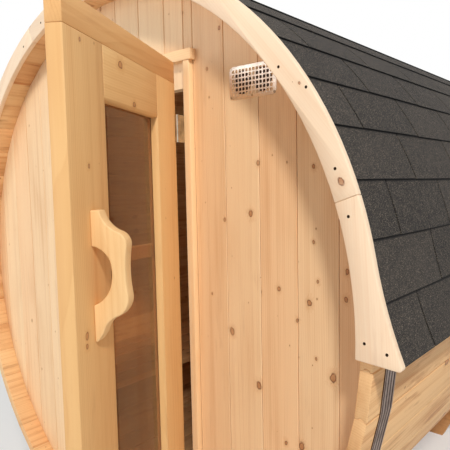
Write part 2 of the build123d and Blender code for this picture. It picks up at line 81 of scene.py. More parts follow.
class Shader:  # short ways to add nodes to one tree
    def __init__(self, tree):
        self.tree = tree
        tree.nodes.clear()

    def add(self, kind, inputs=None, **settings):
        node = self.tree.nodes.new("ShaderNode" + kind)
        for key, value in settings.items():
            setattr(node, key, value)
        for key, value in (inputs or {}).items():
            if isinstance(value, bpy.types.NodeSocket):
                self.tree.links.new(value, node.inputs[key])
            else:
                node.inputs[key].default_value = value
        return node

    def attribute(self, name, output="Fac"):
        return self.add("Attribute", attribute_name=name).outputs[output]

    def calc(self, operation, *values, clamp=False):
        return self.add("Math", dict(enumerate(values)), operation=operation, use_clamp=clamp).outputs[0]

    def vector(self, operation, *values):
        node = self.add("VectorMath", dict(enumerate(values)), operation=operation)
        return node.outputs["Value" if operation in ("DOT_PRODUCT", "LENGTH") else "Vector"]

    def noise(self, place, scale, detail, roughness=0.5):
        if isinstance(scale, tuple):
            place, scale = self.vector("MULTIPLY", place, scale), 1.0
        inputs = {"Vector": place, "Scale": scale, "Detail": detail, "Roughness": roughness}
        return self.add("TexNoise", inputs).outputs["Fac"]

    def chance(self, number):  # an even random value for a number
        return self.add("TexWhiteNoise", {"W": number}, noise_dimensions="1D").outputs["Value"]

    def dice(self, number):  # three of them
        node = self.add("TexWhiteNoise", {"W": number}, noise_dimensions="1D")
        return self.split(node.outputs["Color"])

    def split(self, colour):
        return self.add("SeparateColor", {0: colour}).outputs

    def ramp(self, value, low, high):  # 0 at low, 1 at high, smooth between
        node = self.add("MapRange", {"Value": value, "From Min": low, "From Max": high},
                        interpolation_type="SMOOTHSTEP")
        return node.outputs["Result"]

    def around(self, value, share):  # share of how far a value lies from a half
        return self.calc("MULTIPLY", self.calc("SUBTRACT", value, 0.5), share)

    def blend(self, share, first, second, kind="MIX"):
        node = self.add("Mix", {0: share, 6: first, 7: second}, data_type="RGBA", blend_type=kind)
        return node.outputs[2]

    def bump(self, height, strength, distance):
        return self.add("Bump", {"Height": height, "Strength": strength, "Distance": distance}).outputs[0]

    def surface(self, colour, roughness, normal, more=None):  # ends a material
        inputs = {"Base Color": colour, "Roughness": roughness, "Normal": normal, **(more or {})}
        self.add("OutputMaterial", {0: self.add("BsdfPrincipled", inputs).outputs[0]})


def newMaterial(name):
    material = bpy.data.materials.new(name)
    material.use_nodes = True
    return material, Shader(material.node_tree)


def linear(red, green, blue):  # colour written as it shows, 0 to 255
    def one(c):
        c /= 255
        return c / 12.92 if c <= 0.04045 else ((c + 0.055) / 1.055) ** 2.4

    return (one(red), one(green), one(blue), 1)


# Knots. Each way gives the distance from the nearest knot's middle in knot radii.
def looseKnots(shade, parts, look, kind):  # they stand in cells, some of them empty
    calc, cell = shade.calc, look[kind + "Cell"]
    across, along = parts[0], parts[2]
    place = shade.add("CombineXYZ", {0: calc("DIVIDE", across, cell[0]), 1: calc("DIVIDE", along, cell[1])})
    cells = shade.add("TexVoronoi", {"Vector": place.outputs[0], "Scale": 1.0, "Randomness": 0.9},
                      voronoi_dimensions="2D", feature="F1")
    middle = shade.add("SeparateXYZ", {0: cells.outputs["Position"]}).outputs
    chance = shade.split(cells.outputs["Color"])
    sideways = calc("SUBTRACT", across, calc("MULTIPLY", middle[0], cell[0]))
    lengthways = calc("SUBTRACT", along, calc("MULTIPLY", middle[1], cell[1]))
    lengthways = calc("MULTIPLY", lengthways, 0.72)  # longer along the board
    away = calc("SQRT", calc("ADD", calc("MULTIPLY", sideways, sideways),
                             calc("MULTIPLY", lengthways, lengthways)))
    grown = calc("MULTIPLY", calc("POWER", chance[1], 2.0), look[kind + "Large"])
    size = calc("ADD", look[kind + "Small"], grown)
    absent = calc("GREATER_THAN", chance[0], look[kind + "Share"])
    return calc("ADD", calc("DIVIDE", away, size), calc("MULTIPLY", absent, 20.0))


def placedKnot(shade, spot, centre, run, size):  # one where the real board shows it
    calc, vector = shade.calc, shade.vector
    off = vector("SUBTRACT", spot, centre)
    lengthways = vector("DOT_PRODUCT", off, run)
    whole = vector("DOT_PRODUCT", off, off)
    longer = calc("MULTIPLY", calc("MULTIPLY", lengthways, lengthways), 0.45)
    return calc("DIVIDE", calc("SQRT", calc("SUBTRACT", whole, longer)), size)


# Growth rings round a pith that lies somewhere beside and below the board's face
def lateWoodOf(shade, place, parts, dice, bend, look):
    calc, stretch = shade.calc, look["swayScale"]
    across, through, along = parts[0], parts[1], parts[2]
    sway = shade.noise(place, stretch, 2.0, 0.45)
    pithDepth = calc("ADD", look["pithLeast"], calc("MULTIPLY", dice[1], look["pithDepth"]))
    slope = shade.around(dice[2], look["pithSlope"])
    offSide = calc("SUBTRACT", across, shade.around(dice[0], look["pithSide"]))
    offDepth = calc("ADD", calc("ADD", through, pithDepth), calc("MULTIPLY", along, slope))
    radius = calc("SQRT", calc("ADD", calc("MULTIPLY", offSide, offSide),
                               calc("MULTIPLY", offDepth, offDepth)))
    radius = calc("ADD", radius, calc("ADD", calc("MULTIPLY", sway, look["ringSway"]), bend))
    phase = calc("DIVIDE", radius, look["ringWidth"])
    unevenly = shade.noise(shade.vector("MULTIPLY", place, stretch), 3.0, 1.0)
    phase = calc("ADD", phase, calc("MULTIPLY", unevenly, look["ringWander"]))
    inRing = calc("FRACT", phase)
    lateWood = calc("MULTIPLY", calc("POWER", inRing, 2.6), shade.ramp(inRing, 1.0, 0.93))
    ownTone = calc("MULTIPLY", shade.chance(calc("FLOOR", phase)), 0.65)
    return calc("MULTIPLY", lateWood, calc("ADD", 0.35, ownTone))


# Wood. "grain" is each board's own X across, Y through and Z along it, "board" is its number
# and "run" the way that it lies.
def makeWood(name, look):
    material, shade = newMaterial(name)
    calc, ramp, blend, noise = shade.calc, shade.ramp, shade.blend, shade.noise
    place = shade.attribute("grain", "Vector")
    parts = shade.add("SeparateXYZ", {0: place}).outputs
    dice = shade.dice(shade.attribute("board"))
    around = shade.add("TexCoord").outputs
    facing = shade.vector("DOT_PRODUCT", around["Normal"], shade.attribute("run", "Vector"))
    side = ramp(calc("ABSOLUTE", facing), 0.9, 0.5)  # 0 on the sawn ends

    reach = calc("MINIMUM", looseKnots(shade, parts, look, "knot"), looseKnots(shade, parts, look, "pin"))
    for centre, run, size in look["placed"]:
        reach = calc("MINIMUM", reach, placedKnot(shade, around["Object"], centre, run, size))
    rough = noise(place, look["roughScale"], 3.0)
    reach = calc("MULTIPLY", reach, calc("ADD", 0.45, calc("MULTIPLY", rough, 1.7)))
    heart = ramp(reach, 1.0, 0.8)
    rim = calc("MULTIPLY", ramp(reach, 1.35, 1.0), ramp(reach, 0.7, 0.95))
    halo = ramp(reach, 3.4, 0.8)
    lateWood = lateWoodOf(shade, place, parts, dice, calc("MULTIPLY", halo, look["ringBend"]), look)

    fibre = noise(place, look["fibreScale"], 3.0, 0.6)
    streak = noise(place, look["streakScale"], 3.0)
    blotch = noise(place, look["blotchScale"], 2.0)
    smear = noise(place, look["smearScale"], 4.0, 0.6)

    tone = calc("MULTIPLY", lateWood, look["ringTone"])
    streakShare = calc("MULTIPLY", ramp(streak, 0.42, 0.78), calc("ADD", 0.2, calc("MULTIPLY", side, 0.8)))
    tone = calc("ADD", tone, calc("MULTIPLY", streakShare, look["streakTone"]))
    tone = calc("ADD", tone, calc("MULTIPLY", ramp(blotch, 0.45, 0.75), look["blotchTone"]))
    tone = calc("ADD", tone, shade.around(fibre, look["fibreTone"]))
    tone = calc("ADD", tone, shade.around(dice[1], look["boardTone"]), clamp=True)
    colour = blend(tone, look["pale"], look["dark"])
    colour = blend(calc("MULTIPLY", halo, look["haloTone"]), colour, look["dark"])
    blush = calc("MULTIPLY", ramp(dice[2], 0.35, 1.0), look["redTone"])
    colour = blend(blush, colour, look["red"], "MULTIPLY")
    smear = calc("MULTIPLY", ramp(smear, look["smearFrom"], look["smearFrom"] + 0.16), side)
    colour = blend(calc("MULTIPLY", smear, look["smear"]), colour, look["knot"])
    knotTone = calc("MULTIPLY", heart, calc("ADD", 0.3, calc("MULTIPLY", rough, 0.8)), clamp=True)
    colour = blend(knotTone, colour, look["knot"])
    rimTone = calc("MULTIPLY", rim, calc("MULTIPLY", ramp(rough, 0.2, 0.5), 0.9))
    colour = blend(rimTone, colour, look["knotRim"])

    height = calc("ADD", calc("MULTIPLY", lateWood, 0.5), calc("MULTIPLY", fibre, 0.6))
    height = calc("ADD", height, calc("MULTIPLY", heart, 0.8))
    height = calc("SUBTRACT", height, calc("MULTIPLY", rim, 0.8))
    gloss = calc("ADD", look["roughness"], shade.around(fibre, 0.22))
    gloss = calc("SUBTRACT", gloss, calc("MULTIPLY", heart, 0.15))
    shade.surface(colour, gloss, shade.bump(height, look["bump"], 0.0006), {"Specular IOR Level": 0.35})
    return material


# Knots that the front shows: their middle, the way the board runs and their size
upright = (0, 0, 1)
wallKnots = [((x, wallFront, z), upright, size) for x, z, size in (
    (0.605, 1.476, 0.0057), (0.577, 1.341, 0.0080), (0.779, 1.463, 0.0053), (0.778, 1.280, 0.0042),
    (0.481, 1.323, 0.0048), (0.424, 1.742, 0.0041), (0.474, 1.844, 0.0050), (0.330, 1.913, 0.0036),
    (0.670, 1.150, 0.0058), (0.765, 1.127, 0.0076), (0.728, 1.076, 0.0047), (0.790, 1.183, 0.0042),
    (0.597, 0.873, 0.0093), (0.688, 0.740, 0.0055), (0.784, 0.988, 0.0038), (0.833, 0.951, 0.0100),
    (0.739, 0.746, 0.0097), (0.872, 1.216, 0.0061), (0.502, 1.008, 0.0087),
)]
archKnots = [
    ((0.907, -0.368, 1.427), (-0.35, 0, 0.94), 0.0080), ((0.800, -0.368, 1.644), (-0.58, 0, 0.81), 0.0035),
]
doorLevel = (0.505, -0.863, 0)
doorKnots = [
    ((0.515, -0.630, 1.682), doorLevel, 0.0090), ((0.481, -0.572, 1.607), doorLevel, 0.0064),
    ((0.601, -0.776, 1.691), upright, 0.0036), ((0.593, -0.764, 1.462), upright, 0.0041),
    ((0.611, -0.793, 1.143), upright, 0.0060), ((0.612, -0.795, 1.123), upright, 0.0049),
    ((0.655, -0.868, 1.210), upright, 0.0041), ((0.362, -0.367, 1.158), upright, 0.0028),
]

planed = {
    "pale": linear(248, 215, 170), "dark": linear(212, 157, 102), "red": linear(255, 226, 206),
    "redTone": 0.35, "haloTone": 0.35, "knot": linear(176, 116, 70), "knotRim": linear(124, 72, 42),
    "knotCell": (0.085, 0.21), "knotShare": 0.4, "knotSmall": 0.002, "knotLarge": 0.0065,
    "pinCell": (0.05, 0.16), "pinShare": 0.3, "pinSmall": 0.0007, "pinLarge": 0.0012, "placed": (),
    "pithSide": 0.13, "pithLeast": 0.012, "pithDepth": 0.05, "pithSlope": 0.09,
    "ringWidth": 0.0062, "ringSway": 0.03, "ringWander": 2.2, "ringBend": 0.012,
    "ringTone": 0.42, "streakTone": 0.26, "blotchTone": 0.22, "fibreTone": 0.16, "boardTone": 0.35,
    "smear": 0.15, "smearFrom": 0.58, "roughness": 0.55, "bump": 0.35,
    "fibreScale": (900.0, 900.0, 14.0), "streakScale": (75.0, 75.0, 1.3), "blotchScale": (9.0, 9.0, 2.6),
    "smearScale": (34.0, 34.0, 5.0), "swayScale": (5.0, 5.0, 1.1), "roughScale": 85.0,
}
clear = {"knotShare": 0.0, "pinShare": 0.0}
woodLooks = {
    "staveWood": {"pale": linear(239, 197, 145), "dark": linear(196, 134, 80),
                  "blotchTone": 0.5, "streakTone": 0.5, "smear": 0.6, "smearFrom": 0.55,
                  "knotCell": (0.12, 0.24), "knotShare": 0.6, "knotLarge": 0.014, "slot": "stave_wood"},
    "wallWood": {"pale": linear(248, 216, 174), "dark": linear(211, 158, 106), "placed": wallKnots,
                 "knotShare": 0.2, "knotLarge": 0.004, "slot": "wall_wood"},
    "archWood": {"pale": linear(248, 223, 194), "dark": linear(233, 192, 154), "placed": archKnots,
                 "knotShare": 0.1, "pinShare": 0.12, "boardTone": 0.15, "ringTone": 0.28,
                 "slot": "arch_wood"},
    "roofWood": {"pale": linear(232, 192, 142), "dark": linear(190, 132, 80), "slot": "roof_wood"},
    "cradleWood": {"pale": linear(222, 172, 118), "dark": linear(170, 110, 62), "slot": "cradle_wood"},
    "frameWood": {"pale": linear(246, 214, 168), "dark": linear(220, 166, 108), "knotShare": 0.06,
                  "pinShare": 0.08, "slot": "frame_wood"},
    "doorWood": {"pale": linear(231, 189, 131), "dark": linear(201, 141, 81), "placed": doorKnots,
                 "knotShare": 0.12, "pinShare": 0.16, "slot": "door_wood"},
    "beadWood": {**clear, "pale": linear(212, 158, 112), "dark": linear(168, 110, 72), "slot": "door_wood"},
    "handleWood": {**clear, "pale": linear(244, 208, 154), "dark": linear(216, 160, 100), "ringTone": 0.35,
                   "ringWidth": 0.011, "roughness": 0.45, "slot": "handle_wood"},
    # paler than the door's wood: painted light, as if the lamp reached the bar through the glass
    "pullWoodPaintedLight": {**clear, "pale": linear(251, 224, 176), "dark": linear(238, 188, 126),
                 "slot": "door_wood"},
    "insideWood": {"pale": linear(232, 186, 134), "dark": linear(190, 130, 78), "slot": "inside_wood"},
}
woods = {name: makeWood(name, {**planed, **look}) for name, look in woodLooks.items()}
print("Wood finishes made:", len(woods))


shingleLook = {
    "dark": linear(30, 28, 28), "mid": linear(78, 72, 67), "light": linear(146, 133, 116),
    "shadeBlack": linear(17, 16, 16), "granule": 0.0012, "bump": 0.8, "shadeStrip": 0.006, "exposure": 0.1326,
}


def makeShingle(name, look):
    material, shade = newMaterial(name)
    calc, ramp, blend, noise, around = shade.calc, shade.ramp, shade.blend, shade.noise, shade.around
    place = shade.add("TexCoord").outputs["Object"]
    tab = shade.chance(shade.attribute("board"))
    grains = shade.add("TexVoronoi", {"Vector": place, "Scale": 1 / look["granule"]}, feature="F1")
    pick = shade.split(grains.outputs["Color"])
    clump = noise(place, 38.0, 4.0, 0.7)
    patch = noise(place, 5.0, 3.0)
    tone = calc("ADD", calc("MULTIPLY", pick[0], 0.75), around(clump, 0.9))
    tone = calc("ADD", tone, around(tab, 0.35))
    tone = calc("ADD", tone, around(patch, 0.5), clamp=True)
    colour = blend(tone, look["dark"], look["mid"])
    colour = blend(calc("MULTIPLY", ramp(pick[1], 0.86, 0.96), 0.8), colour, look["light"])
    course = shade.attribute("course")  # metres up from the butt
    course = calc("ADD", course, around(noise(place, 90.0, 2.0), 0.002))
    # Painted shade: a near-black strip just under the butt of the course above, and along each tab's own
    # butt edge
    shadeBelowButt = ramp(course, look["exposure"] - look["shadeStrip"], look["exposure"] - look["shadeStrip"] * 0.3)
    shadeAtButt = ramp(course, 0.0016, 0.0006)
    colour = blend(calc("MAXIMUM", calc("MULTIPLY", shadeBelowButt, 0.9), shadeAtButt), colour, look["shadeBlack"])
    height = calc("SUBTRACT", calc("MULTIPLY", pick[2], 0.6), grains.outputs["Distance"])
    gloss = calc("ADD", 0.78, calc("MULTIPLY", pick[0], 0.2))
    shade.surface(colour, gloss, shade.bump(height, look["bump"], 0.0008), {"Specular IOR Level": 0.3})
    return material


def makeMetal(name, look):
    material, shade = newMaterial(name)
    calc, ramp, blend, noise, around = shade.calc, shade.ramp, shade.blend, shade.noise, shade.around
    place = shade.add("TexCoord").outputs["Object"]
    brush = noise(place, look["brush"], 3.0)
    smudge = noise(place, look["smudge"], 4.0)
    spangle = shade.add("TexVoronoi", {"Vector": place, "Scale": look["spangle"]}, feature="F1")
    flake = shade.split(spangle.outputs["Color"])[0]
    tone = calc("ADD", calc("MULTIPLY", ramp(smudge, 0.35, 0.7), 0.6), calc("MULTIPLY", flake, 0.3))
    tone = calc("ADD", tone, around(brush, 0.5), clamp=True)
    colour = blend(tone, look["light"], look["dark"])
    if "hollowDark" in look:  # darker between the ridges
        low = calc("ADD", shade.attribute("rise"), around(smudge, 0.5))
        colour = blend(calc("MULTIPLY", ramp(low, 0.75, 0.2), 0.9), colour, look["hollowDark"])
    gloss = calc("ADD", look["roughness"], around(smudge, 0.3))
    shade.surface(colour, gloss, shade.bump(brush, 0.25, 0.0002), {"Metallic": 1.0})
    return material


glassLook = {"tint": linear(190, 149, 111), "roughness": 0.015, "ior": 1.5, "specular": 0.2}


def makeGlass(name, look):
    material, shade = newMaterial(name)
    place = shade.add("TexCoord").outputs["Object"]
    wipe = shade.noise(place, 9.0, 5.0, 0.7)
    wave = shade.noise(place, 3.0, 1.0)
    gloss = shade.calc("MULTIPLY", wipe, look["roughness"])
    more = {"IOR": look["ior"], "Specular IOR Level": look["specular"], "Transmission Weight": 1.0}
    shade.surface(look["tint"], gloss, shade.bump(wave, 0.1, 0.001), more)
    return material


darkLook = {"dust": linear(60, 52, 46), "dustShare": 0.4, "dustScale": 120.0, "roughness": 0.85}


def makeDark(name, tint):
    material, shade = newMaterial(name)
    dust = shade.noise(shade.add("TexCoord").outputs["Object"], darkLook["dustScale"], 3.0)
    colour = shade.blend(shade.calc("MULTIPLY", dust, darkLook["dustShare"]), tint, darkLook["dust"])
    shade.surface(colour, darkLook["roughness"], shade.bump(dust, 0.3, 0.0005))
    return material


metalLooks = {
    "bandSteel": {"light": linear(164, 147, 138), "dark": linear(110, 94, 86), "hollowDark": linear(58, 44, 38),
                  "brush": (14.0, 900.0, 14.0), "smudge": 14.0, "spangle": 60.0, "roughness": 0.36},
    "grilleSteel": {"light": linear(236, 226, 214), "dark": linear(206, 192, 178),
                    "brush": (900.0, 900.0, 20.0), "smudge": 40.0, "spangle": 240.0, "roughness": 0.42},
    "hingeSteel": {"light": linear(206, 196, 178), "dark": linear(140, 128, 112),
                   "brush": (60.0, 60.0, 12.0), "smudge": 30.0, "spangle": 25.0, "roughness": 0.3},
    "screwSteel": {"light": linear(72, 55, 41), "dark": linear(34, 26, 20),
                   "brush": (300.0, 300.0, 300.0), "smudge": 200.0, "spangle": 500.0, "roughness": 0.68},
}
metals = {name: makeMetal(name, look) for name, look in metalLooks.items()}
shingle = makeShingle("shingle", shingleLook)
glass = makeGlass("glass", glassLook)
# painted shade: the dark inside of the two ducts, put on shallow discs
ductShadePaint = makeDark("ductShadePaint", linear(70, 47, 32))
# Near-black like bitumen felt, and kept this dark so the slots between the tabs show dark: partly painted
# shade
underlay = makeDark("underlay", linear(14, 13, 13))
print("Other finishes made")


# The door's own directions, as it stands open at rest
doorAngle = radians(-hinge["range_deg"][0])
doorAlong = Vector((-cos(doorAngle), -sin(doorAngle), 0))
doorOut = Vector((sin(doorAngle), -cos(doorAngle), 0))
up = Vector((0, 0, 1))


def roundAxes(centre):
    outward = Vector((centre.x, 0, centre.z - axisZ)).normalized()
    return outward.cross(Vector((0, 1, 0))), outward


def boardAxes(kind, centre):  # across, through, along
    tangent, outward = roundAxes(centre)
    back = Vector((0, 1, 0))
    side = Vector((1, 0, 0))
    return {
        "barrel": (tangent, outward, back),
        "arch": (outward, back, tangent),
        "upright": (side, back, up),
        "level": (up, back, side),
        "plank": (side, up, back),
        "doorUpright": (doorAlong, doorOut, up),
        "doorLevel": (up, doorOut, doorAlong),
        "handle": (doorOut, doorAlong, up),
        "pull": (up, doorOut, doorAlong),
    }[kind]


def islandsOf(bm):
    seen = set()
    for start in bm.verts:
        if start in seen:
            continue
        seen.add(start)
        island = [start]
        for vert in island:
            for edge in vert.link_edges:
                other = edge.other_vert(vert)
                if other not in seen:
                    seen.add(other)
                    island.append(other)
        yield island


boardDraws = {"shift": 40, "number": 1000}  # where in its own wood a board lies, and its number


def markBoards(bm, kind):
    grain = bm.verts.layers.float_vector.new("grain")
    run = bm.verts.layers.float_vector.new("run")
    number = bm.verts.layers.float.new("board")
    for island in islandsOf(bm):
        centre = sum((vert.co for vert in island), Vector()) / len(island)
        across, through, along = boardAxes(kind, centre)
        shift = Vector([random.uniform(-boardDraws["shift"], boardDraws["shift"]) for _ in range(3)])
        shift.y = 0
        own = random.uniform(0, boardDraws["number"])
        for vert in island:
            offset = vert.co - centre
            vert[grain] = Vector((offset.dot(across), offset.dot(through), offset.dot(along))) + shift
            vert[number] = own
            vert[run] = along


def faceOutward(bm):
    bm.normal_update()
    for island in islandsOf(bm):
        faces = list({face for vert in island for face in vert.link_faces})
        middle = sum((vert.co for vert in island), Vector()) / len(island)
        volume = sum((face.calc_center_median() - middle).dot(face.normal) * face.calc_area()
                     for face in faces)
        if volume < 0:
            bmesh.ops.reverse_faces(bm, faces=faces)


def finishPiece(bm, name, material, body, nodes=(), slot=None, kind=None, smooth=35):
    faceOutward(bm)
    if kind:
        markBoards(bm, kind)
    mesh = bpy.data.meshes.new(name)
    bm.to_mesh(mesh)
    bm.free()
    mesh.materials.append(material)
    mesh.polygons.foreach_set("use_smooth", [True] * len(mesh.polygons))
    mesh.set_sharp_from_angle(angle=radians(smooth))
    piece = bpy.data.objects.new(name, mesh)
    bpy.context.scene.collection.objects.link(piece)
    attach(piece, body)
    if nodes:
        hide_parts(*nodes)


def extruded(bm, faces):  # the new points of the extruded faces
    raised = bmesh.ops.extrude_face_region(bm, geom=faces)
    return [item for item in raised["geom"] if isinstance(item, bmesh.types.BMVert)]


def bevelEdges(bm, edges, width, segments):
    bmesh.ops.bevel(bm, geom=edges, offset=width, offset_type="OFFSET", segments=segments, profile=0.5,
                    affect="EDGES", material=-1, clamp_overlap=True)


# CAD boards with their edges eased
easedNodes = {
    "barrel": {"staveWood": ["staves_top", "staves_bottom"]
               + [f"staves_{side}_{row}" for side in ("left", "right") for row in (1, 2, 3, 4)],
               "roofWood": ["roof_boards_left", "roof_boards_right", "eave_board_left",
                            "eave_board_right"]},
    "arch": {"archWood": ["front_arch", "back_arch"]},
    "upright": {"frameWood": ["door_jamb_left", "door_jamb_right"]},
    "level": {"frameWood": ["door_head", "door_sill"], "cradleWood": ["cradle_front", "cradle_back"],
              "insideWood": ["floor_bearers", "bench_frames"]},
    "plank": {"insideWood": ["floor_boards", "bench_slats"]},
    "doorUpright": {"doorWood": ["door_stile_hinge", "door_stile_free"]},
    "doorLevel": {"doorWood": ["door_top_rail", "door_upper_panel", "door_bottom_rail"],
                  "beadWood": ["glass_beads"]},
    "handle": {"handleWood": ["door_handle"]},
    "pull": {"pullWoodPaintedLight": ["door_pull_bar"]},
}
easing = {  # width and steps of the rounded edges
    "door_handle": (0.003, 3), "door_pull_bar": (0.004, 3), "bench_slats": (0.004, 3),
    "front_arch": (0.0022, 2), "back_arch": (0.0022, 2), "glass_beads": (0.0008, 1),
    "roof_boards_left": (0.0006, 1), "roof_boards_right": (0.0006, 1),
}
easingRule = {"usual": (0.0013, 2), "sharpFrom": radians(32), "flatBelow": radians(0.3), "merge": 0.00002}


def easeNode(node, wood, kind):
    source = frame["nodes"][node]
    bm = bmesh.new()
    bm.from_mesh(source.data)
    bmesh.ops.remove_doubles(bm, verts=bm.verts, dist=easingRule["merge"])
    bmesh.ops.dissolve_limit(bm, angle_limit=easingRule["flatBelow"], verts=bm.verts, edges=bm.edges)
    width, segments = easing.get(node, easingRule["usual"])
    limit = easingRule["sharpFrom"]
    sharp = [edge for edge in bm.edges if edge.is_manifold and edge.calc_face_angle() > limit]
    bevelEdges(bm, sharp, width, segments)
    slot = woodLooks[wood]["slot"]
    finishPiece(bm, "eased_" + node, woods[wood], source["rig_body"], [node], slot, kind)


for kind, groups in easedNodes.items():
    for wood, nodes in groups.items():
        for node in nodes:
            easeNode(node, wood, kind)
print("Boards eased")


# End walls: upright tongue and groove boards with a V between them
wallBoards = {
    "cover": 0.121, "gap": 0.002, "groove": 0.0012, "tongue": 0.006, "rightSeam": 0.366, "leftSeam": -0.271,
    "circleParts": 240, "leastWide": 0.004, "rimPlay": 0.001, "doorPlay": 0.0011, "past": 0.01,
}
doorway = {
    "left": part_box("front_wall_above_door")[0].x, "right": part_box("front_wall_above_door")[1].x,
    "top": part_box("front_wall_above_door")[0].z, "bottom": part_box("front_wall_below_door")[1].z,
}


def joinInto(bm, other):
    mesh = bpy.data.meshes.new("part")
    other.to_mesh(mesh)
    other.free()
    bm.from_mesh(mesh)
    bpy.data.meshes.remove(mesh)


def wallBoard(bm, left, right, bottom, top, front, back, groove):
    one = bmesh.new()
    bmesh.ops.create_circle(one, cap_ends=True, segments=wallBoards["circleParts"], radius=wallRadius)
    cuts = (((left, 0, 0), (-1, 0, 0)), ((right, 0, 0), (1, 0, 0)),
            ((0, bottom - axisZ, 0), (0, -1, 0)), ((0, top - axisZ, 0), (0, 1, 0)))
    for point, normal in cuts:
        whole = one.verts[:] + one.edges[:] + one.faces[:]
        bmesh.ops.bisect_plane(one, geom=whole, plane_co=point, plane_no=normal, clear_outer=True)
    if not one.faces:
        one.free()
        return
    bmesh.ops.translate(one, verts=extruded(one, one.faces[:]), vec=(0, 0, back - front))
    for vert in one.verts:  # the drawing's Y stands up, its Z goes back
        vert.co = Vector((vert.co.x, front + vert.co.z, axisZ + vert.co.y))
    bmesh.ops.recalc_face_normals(one, faces=one.faces[:])
    sides = []
    for edge in one.edges:
        a, b = edge.verts[0].co, edge.verts[1].co
        onSide = min(abs(a.x - left), abs(a.x - right)) < 1e-5 and abs(a.x - b.x) < 1e-6
        if onSide and abs(a.y - b.y) < 1e-6:
            sides.append(edge)
    if groove:
        bevelEdges(one, sides, groove, 1)
    joinInto(bm, one)


def makeWallBoards(name, seams, front, back, nodes, hole=None):
    bm = bmesh.new()
    half = wallBoards["gap"] / 2
    inset = (back - front - wallBoards["tongue"]) / 2
    rim = wallRadius - wallBoards["rimPlay"]
    strips = []
    for left, right in zip(seams, seams[1:]):
        left, right = max(left + half, -rim), min(right - half, rim)
        if right - left > wallBoards["leastWide"]:
            strips.append((left, right, front, back, wallBoards["groove"]))
    for seam in seams[1:-1]:  # the tongue that closes each seam
        strips.append((seam - half, seam + half, front + inset, back - inset, 0))
    play, reach = wallBoards["doorPlay"], wallRadius + wallBoards["past"]
    low, high = axisZ - reach, axisZ + reach
    for left, right, near, far, groove in strips:
        if hole and hole["left"] - play < left and right < hole["right"] + play:
            wallBoard(bm, left, right, low, hole["bottom"], near, far, groove)
            wallBoard(bm, left, right, hole["top"], high, near, far, groove)
        else:
            wallBoard(bm, left, right, low, high, near, far, groove)
    finishPiece(bm, name, woods["wallWood"], "cabin", nodes, "wall_wood", "upright")


def seamRow(start, step):  # seams from the start out to the barrel
    seams = [start]
    while abs(seams[-1] + step) < wallRadius:
        seams.append(seams[-1] + step)
    return seams


cover = wallBoards["cover"]
leftSeams = [-wallRadius] + seamRow(wallBoards["leftSeam"], -cover)[::-1] + [doorway["left"]]
rightSeams = [doorway["right"]] + seamRow(wallBoards["rightSeam"], cover) + [wallRadius]
overDoor = []
seam = wallBoards["rightSeam"] - cover
while seam > doorway["left"] + wallBoards["past"]:
    overDoor.insert(0, seam)
    seam -= cover
frontNodes = ["front_wall_left", "front_wall_right", "front_wall_above_door", "front_wall_below_door"]
makeWallBoards("front_wall_boards", leftSeams + overDoor + rightSeams, wallFront, wallBack, frontNodes,
               doorway)
backSeams = [-wallRadius] + seamRow(-cover / 2, -cover)[::-1] + seamRow(cover / 2, cover) + [wallRadius]
makeWallBoards("back_wall_boards", backSeams, rearFront, rearBack, ["back_wall"])
print("Wall boards made")


# Shingles: tabs in courses, each course over the head of the one below, and caps along the ridge
roof = {
    "flare": radians(79), "flareRadius": 1.06, "tip": 0.036, "setback": 0.01,  # as the eave boards
    "exposure": shingleLook["exposure"], "tab": 0.322, "slot": 0.007, "headLap": 0.034, "belowRidge": 0.02,
    "step": 0.004, "thick": 0.0038, "skin": 0.0001, "wander": 0.0012, "stagger": 0.07, "least": 0.01,
    "edge": 0.0007, "edgeFrom": radians(60),
    "joints": (-0.187, -0.029, -0.211, -0.036, 0.104, -0.055, -0.214, -0.05, -0.2, -0.045, -0.205),
    "capWide": 0.293, "capStep": 0.1375, "capLap": 0.03, "capThick": 0.0028,
    "bedTop": 0.0055, "bedFoot": 0.0107, "bedInset": 0.002, "bedMerge": 0.00005,
    "tabParts": 4, "capParts": 10, "bedParts": 40, "smooth": 40,
}
flareMiddle = Vector((sin(roof["flare"]), cos(roof["flare"]))) * (roofOuter + roof["flareRadius"])
tipTurn = roof["flare"] - acos((flareMiddle.y + roof["tip"]) / roof["flareRadius"])
eaveTurn = tipTurn - roof["setback"] / roof["flareRadius"]
flareLength = roof["flareRadius"] * eaveTurn
roofLength = flareLength + roofOuter * roof["flare"]


def roofPoint(distance, inset):  # up from the eave along the face, and in from it
    if distance <= flareLength:
        angle = roof["flare"] - eaveTurn + distance / roof["flareRadius"]
        return flareMiddle - Vector((sin(angle), cos(angle))) * (roof["flareRadius"] + inset)
    angle = roof["flare"] - (distance - flareLength) / roofOuter
    return Vector((sin(angle), cos(angle))) * (roofOuter - inset)


def bendOntoRoof(verts, side):  # X along the barrel, Y up the roof, Z out of it
    for vert in verts:
        spot = roofPoint(vert.co.y, -vert.co.z)
        vert.co = Vector((side * spot.x, vert.co.x, axisZ + spot.y))


def addSheet(bm, parts):  # two flat layers, one unit wide and long, joined round their edge
    upper = bmesh.ops.create_grid(bm, x_segments=1, y_segments=parts, size=0.5)["verts"]
    faces = list({face for vert in upper for face in vert.link_faces})
    return upper, extruded(bm, faces)


def addTab(bm, start, end, butt, head, side):
    upper, lower = addSheet(bm, roof["tabParts"])
    course = bm.verts.layers.float["course"]
    for vert in upper + lower:
        upRoof = (vert.co.y + 0.5) * (head - butt)
        rise = -roof["skin"] - roof["step"] * upRoof / roof["exposure"]
        vert.co.x = start + (vert.co.x + 0.5) * (end - start)
        vert.co.y = butt + upRoof
        vert.co.z = rise - (roof["thick"] if vert in lower else 0)
        vert[course] = upRoof
    bendOntoRoof(upper + lower, side)


